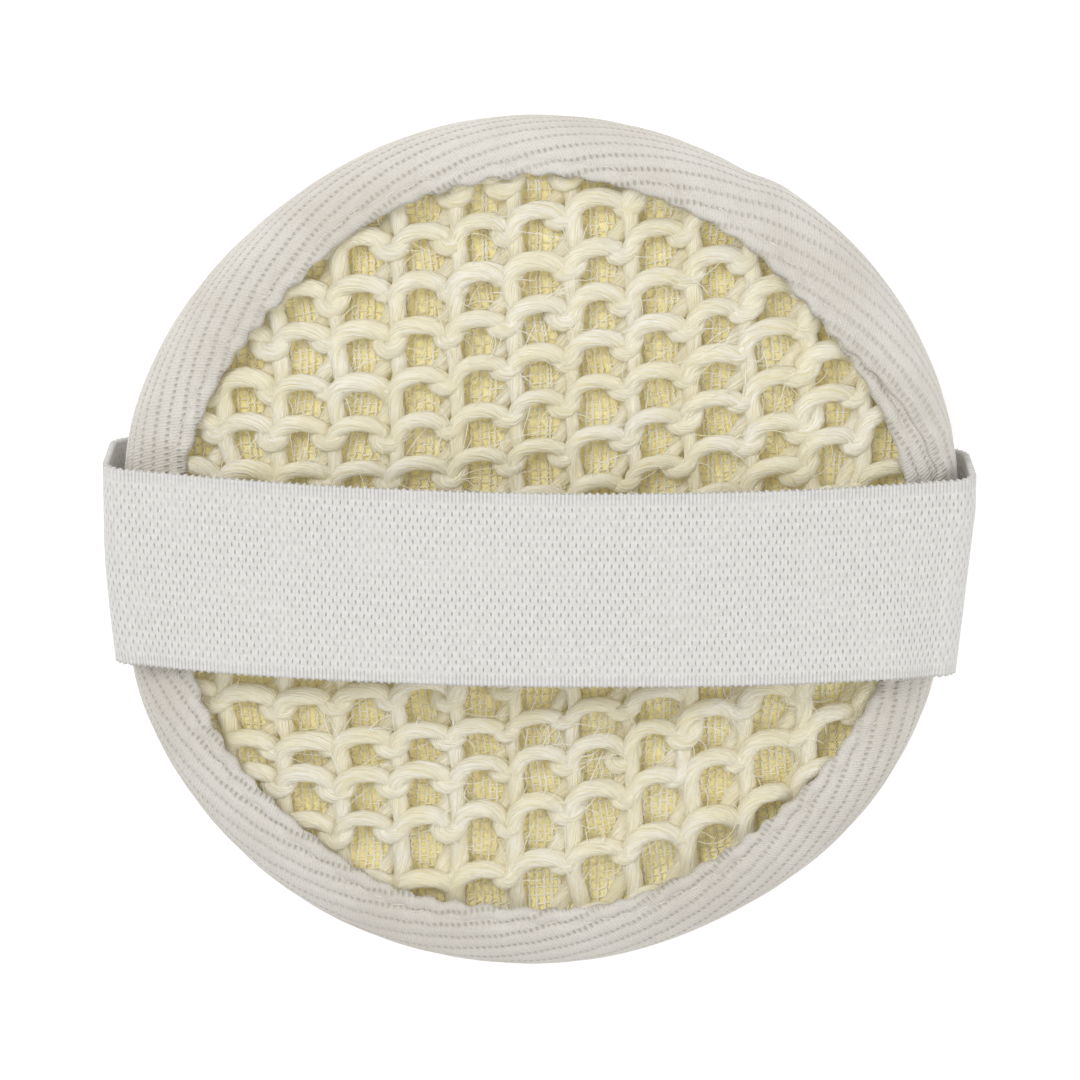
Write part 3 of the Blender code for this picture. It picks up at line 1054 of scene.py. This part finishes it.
terry = terry_finish()
ground = show("back_cloth_ground", spun("back_cloth_ground", ground_outline()), terry)
wall(ground, GROUND_THICKNESS)
pile = show("back_cloth_pile", threads("back_cloth_pile", terry_loops(), LOOP_THREAD), terry)
for piece in (ground, pile):
    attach(piece, "pad")
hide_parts("back_cloth")
print("back cloth:", len(pile.data.polygons), "faces of pile")

# %% [markdown]
# ## The elastic strap
# One band of knitted elastic crosses the front in a low arch, folds over the rim and is tacked to
# the back. The frame holds it as three nodes, because only its middle lifts, but it is one band,
# so it is one grid here, laid along its line. Its lower side is pulled in where it folds, so it
# slants round the rim.

# %% Strap geometry
STRAP_WIDTH = strap_high.y - strap_low.y
STRAP_THICKNESS = 1.2 * MM
STRAP_CROWN = strap_high.z - STRAP_THICKNESS / 2.0
STRAP_SNUG = 0.5 * MM
STRAP_FOLD_X = strap_end_high.x - STRAP_THICKNESS / 2.0 - STRAP_SNUG
STRAP_DROP = 12.4 * MM
STRAP_RAW_END = 61.5 * MM
STRAP_BACK_Z = 1.3 * MM
STRAP_SKEW = tan(radians(0.8))
STRAP_FLARE = 0.75 * MM
PULLED_RIGHT = 2.9 * MM
PULLED_LEFT = 1.6 * MM
CORD_PITCH = 1.28
FRONT_FOLD = 4.5 * MM
BACK_FOLD = 7.0 * MM
LINE_POINTS = 900
NOTCH = 0.20 * MM
SURFACE_WAVE = 0.22 * MM


def strap_line():
    """The strap's middle line in X and Z, from its left raw end to its right, evenly spaced."""
    fold = STRAP_FOLD_X - FRONT_FOLD
    x = np.linspace(0.0, fold, 60)
    z = STRAP_CROWN - STRAP_DROP * (x / STRAP_FOLD_X) ** 2
    front = np.linspace(pi / 2.0, 0.0, 12)[1:]
    back = np.linspace(0.0, -pi / 2.0, 14)
    turn_x = STRAP_FOLD_X - BACK_FOLD
    x = np.concatenate((x, fold + FRONT_FOLD * np.cos(front), turn_x + BACK_FOLD * np.cos(back),
                        [STRAP_RAW_END]))
    z = np.concatenate((z, z[-1] - FRONT_FOLD + FRONT_FOLD * np.sin(front),
                        STRAP_BACK_Z + BACK_FOLD * (1.0 + np.sin(back)), [STRAP_BACK_Z]))
    whole = np.column_stack((np.concatenate((-x[:0:-1], x)), np.concatenate((z[:0:-1], z))))
    travelled = np.concatenate(([0.0], np.cumsum(np.hypot(*np.diff(whole, axis=0).T))))
    even = np.linspace(0.0, travelled[-1], LINE_POINTS)
    line = np.column_stack([np.interp(even, travelled, whole[:, axis]) for axis in (0, 1)])
    return line, travelled[-1]


STRAP_LINE, STRAP_LENGTH = strap_line()


def strap_mesh():
    """Lay the band's grid along its line, with its edges notched by the outermost cords."""
    fine = np.linspace(0.0, 1.0, len(STRAP_LINE))

    def place(u, v):
        x = np.interp(u, fine, STRAP_LINE[:, 0])
        z = np.interp(u, fine, STRAP_LINE[:, 1])
        side = 2.0 * v - 1.0
        notch = NOTCH * np.cos(2.0 * pi * u * STRAP_LENGTH / MM / CORD_PITCH)
        edge = eased(np.abs(side), 0.97, 1.0)
        y = STRAP_CENTRE_Y + side * (STRAP_WIDTH / 2.0 + notch * edge) - x * STRAP_SKEW
        y = y + STRAP_FLARE * (x / STRAP_FOLD_X) ** 2 * (side + 1.0) / 2.0
        past_rim = eased(np.abs(x), 58.0 * MM, 70.0 * MM)
        right = PULLED_RIGHT * np.clip((0.65 - side) / 1.65, 0.0, 1.0)
        left = PULLED_LEFT * np.clip((0.2 - side) / 1.2, 0.0, 1.0) ** 1.5
        x = x - past_rim * np.where(x > 0.0, right, -left)
        wave = SURFACE_WAVE * np.sin(x / (9.0 * MM)) * np.sin(2.4 * side + x / (20.0 * MM))
        return x, y, z + wave * eased(z, 12.0 * MM, 26.0 * MM)

    def weave(u, v):
        return u * STRAP_LENGTH / MM, v * STRAP_WIDTH / MM

    return cloth_grid("elastic_strap", 540, 66, place, weave)


# %% [markdown]
# Knitted elastic is made of fine upright cords, tied in a brick pattern: between two cords there
# is a short slit, painted dark as shade, and the slits of one row stand between those of the
# next. Both come from the band's UV map. Near the long edges the slits close up and the cords
# lie tighter, with painted shade in the narrow lines between them and between the yarns.

# %% Strap finish
ROW_HEIGHT = 1.19
HALF_WIDTH = STRAP_WIDTH / MM / 2.0
ELASTIC_SHADE = (0.68, 0.666, 0.638)
ELASTIC_PALE = (0.75, 0.737, 0.709)
# Painted shade between the cords and yarns.
ELASTIC_GROOVE_PAINTED_SHADE = (0.50, 0.49, 0.465)
# Painted shade in the slits.
ELASTIC_SLIT_PAINTED_SHADE = (0.38, 0.37, 0.35)
ELASTIC_RELIEF = 0.28 * MM


def elastic_finish():
    """White elastic, by its place in the cords and rows, in millimetres, with painted shade in its
    slits and between its cords and yarns.
    """
    finish = Finish("knitted_elastic", 0.8, sheen_weight=0.2, sheen_roughness=0.5)
    along, across = finish.cloth()
    wander = finish.noise(finish.spot(along * 0.06, across * 0.4), 1.0) * 0.5
    row = across / ROW_HEIGHT + wander * 0.5
    cord = along / CORD_PITCH + row.whole() * 0.5 + wander
    in_cord = (cord.part() - 0.5).size()
    in_row = (row.part() - 0.5).size()
    middle = (across - HALF_WIDTH).size().fade(HALF_WIDTH - 1.4, HALF_WIDTH - 2.2)
    slit = in_cord.fade(0.13, 0.02) * in_row.fade(0.38, 0.16)
    tight = ((along / (CORD_PITCH * 0.5)).part() - 0.5).size().fade(0.25, 0.05)
    gap = slit * middle + tight * (1.0 - middle) * 0.55
    uneven = finish.noise(finish.spot(along * 0.4, across * 0.4), 2.0, detail=3.0)
    yarns = finish.noise(finish.spot(along * 3.0, across * 0.8), 2.2, detail=2.0)
    tone = finish.mix(uneven.fade(0.3, 0.7), ELASTIC_SHADE, ELASTIC_PALE)
    # Painted shade in the lines between yarns and tight cords.
    lines = finish.mix(yarns.fade(0.60, 0.40) * 0.20 + tight * 0.14, tone, ELASTIC_GROOVE_PAINTED_SHADE)
    # Noise that makes the slits' painted shade patchy.
    patchy_shade = finish.noise(finish.spot(along * 0.12, across * 0.12), 1.0, detail=3.0)
    # Painted shade in the slits and the gaps between tight cords.
    painted_shade = gap * patchy_shade.fade(0.20, 0.65) * 0.85
    finish.paint(finish.mix(painted_shade, lines, ELASTIC_SLIT_PAINTED_SHADE))
    height = in_cord * 0.4 + in_row.fade(0.5, 0.1) * 0.2 + yarns * 0.35 - gap * 0.6
    finish.relief(height, ELASTIC_RELIEF, strength=0.8)
    return finish


strap = show("elastic_strap", strap_mesh(), elastic_finish())
wall(strap, STRAP_THICKNESS * 0.85)
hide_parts("hand_strap", "strap_end_left", "strap_end_right")
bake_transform(strap)
print(f"strap: {STRAP_LENGTH:.4f} m long, {STRAP_WIDTH:.4f} m wide")

# %% [markdown]
# The raw ends are held by bar tacks: a thread that zigzags tightly across the end.

# %% Bar tacks
TACK_THREAD = 0.38 * MM
TACK_STITCHES = 54


def tack_line(tack):
    """A tight zigzag inside the box of one tack."""
    low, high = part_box(tack)
    steps = 2 * TACK_STITCHES + 1
    x = np.where(np.arange(steps) % 2 == 0, low.x, high.x)
    y = np.linspace(low.y, high.y, steps) - (low.x + high.x) / 2.0 * STRAP_SKEW
    level = STRAP_BACK_Z - STRAP_THICKNESS * 0.425 - TACK_THREAD * 0.3
    return np.column_stack((x, y, np.full(steps, level)))


for tack in ("strap_tack_left", "strap_tack_right"):
    piece = show(tack + "_thread", threads(tack, [tack_line(tack)], TACK_THREAD, 1), thread)
    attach(piece, "pad")
    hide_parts(tack)
print("bar tacks:", 2 * TACK_STITCHES, "crossings each")

# %% [markdown]
# ## Floor, light and camera
# The pad lies on a plain pale floor under soft, even studio light: a white sky for the fill, a
# large key from the upper left and a weaker one from the right. A long lens keeps the pad's
# shape, and the camera leans back a little from straight above, so that it sees the strap's rise.

# %% Stage
CAMERA_TILT = radians(13.0)
CAMERA_DISTANCE = 0.95
VIEW_WIDTH = 183.0 * MM
SENSOR_WIDTH = 36.0
AIM = Vector((0.06 * MM, 0.44 * MM, 14.0 * MM))
FLOOR_HALF = 1.5
FLOOR_GREY = (0.60, 0.60, 0.60)
WHITE = (1.0, 1.0, 1.0, 1.0)
SKY_STRENGTH = 0.66


def soft_light(name, place, size, power):
    """A square soft box that faces the pad."""
    lamp = bpy.data.lights.new(name, "AREA")
    lamp.size = size
    lamp.energy = power
    holder = bpy.data.objects.new(name, lamp)
    holder.location = place
    holder.rotation_euler = (AIM - Vector(place)).to_track_quat("-Z", "Y").to_euler()
    bpy.context.scene.collection.objects.link(holder)


def floor_plane():
    """A plain square floor that is bright enough to run into the sky."""
    bm = bmesh.new()
    bmesh.ops.create_grid(bm, x_segments=1, y_segments=1, size=FLOOR_HALF)
    mesh = bpy.data.meshes.new("floor")
    bm.to_mesh(mesh)
    bm.free()
    finish = Finish("floor", 0.9, emission_strength=0.55, emission_color=WHITE)
    finish.paint(finish.colour(FLOOR_GREY))
    return show("floor", mesh, finish)


floor_plane()

sky = bpy.data.worlds.new("studio")
sky.use_nodes = True
backdrop = sky.node_tree.nodes["Background"]
backdrop.inputs["Color"].default_value = WHITE
backdrop.inputs["Strength"].default_value = SKY_STRENGTH
bpy.context.scene.world = sky
soft_light("key", (-0.45, 0.55, 0.9), 0.5, 5.3)
soft_light("fill", (0.7, -0.2, 0.8), 0.6, 2.5)

lens = bpy.data.cameras.new("view")
lens.sensor_width = SENSOR_WIDTH
lens.lens = SENSOR_WIDTH * CAMERA_DISTANCE / VIEW_WIDTH
lens.clip_start = 0.05
lens.clip_end = 10.0
camera = bpy.data.objects.new("view", lens)
camera.location = AIM + CAMERA_DISTANCE * Vector((0.0, sin(CAMERA_TILT), cos(CAMERA_TILT)))
camera.rotation_euler = (-CAMERA_TILT, 0.0, 0.0)
bpy.context.scene.collection.objects.link(camera)
bpy.context.scene.camera = camera
bpy.context.scene.view_settings.view_transform = "Standard"
